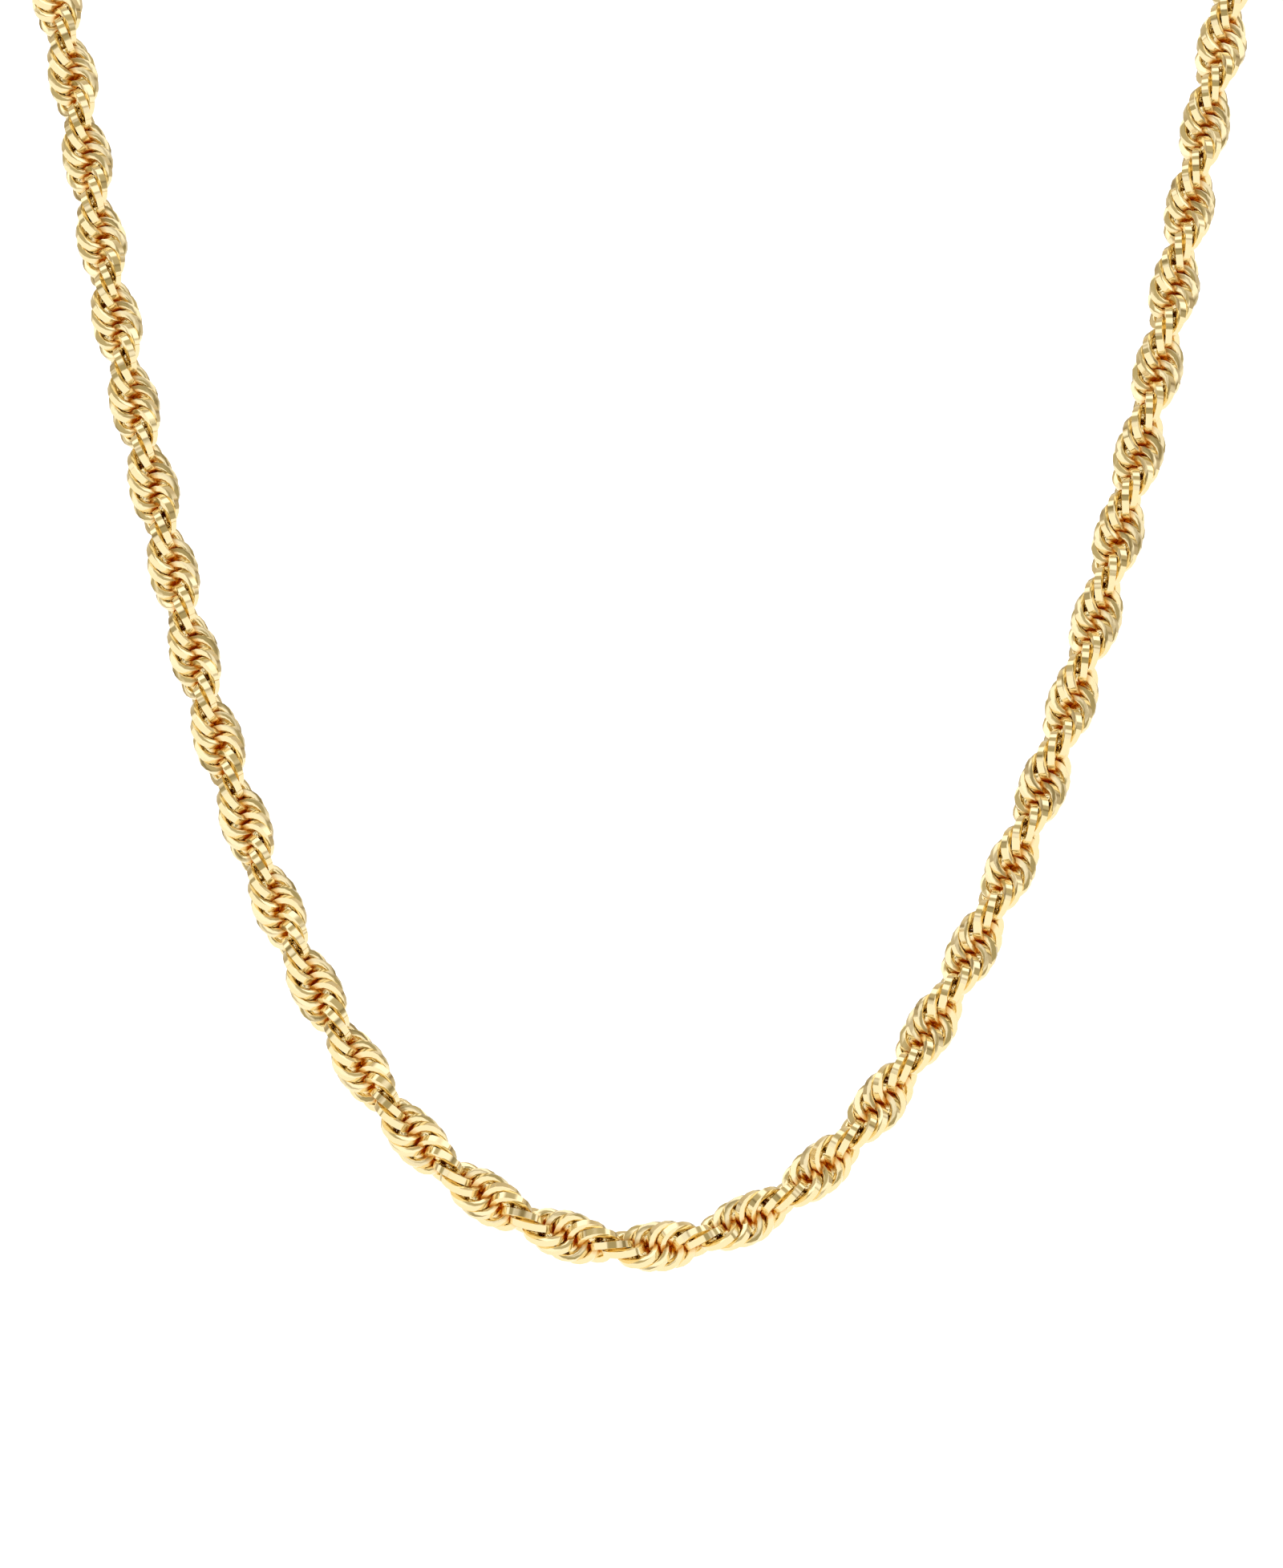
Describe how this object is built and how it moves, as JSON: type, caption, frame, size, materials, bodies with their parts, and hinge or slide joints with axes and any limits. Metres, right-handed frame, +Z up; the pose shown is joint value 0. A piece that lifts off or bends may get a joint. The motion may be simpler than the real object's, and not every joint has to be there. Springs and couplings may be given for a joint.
{
  "type": "rope chain necklace",
  "caption": "Gold rope chain necklace in one closed loop, shown hanging in a U: round wire links twisted into a two-strand rope, with an end cap and eye at each end and a plain clasp.",
  "frame": {"origin": "on the clasp's neck side, at the middle of the nape, where the necklace rests on the neck", "axes": "+Z up the neck, -Y towards the front of the neck, X across the shoulders"},
  "size_m": [0.1301, 0.1126, 0.1776],
  "materials": {
    "gold": "polished"
  },
  "bodies": {
    "root": {"rope": "gold", "end_cap_left": "gold", "end_cap_right": "gold", "clasp": "gold"}
  },
  "joints": []
}
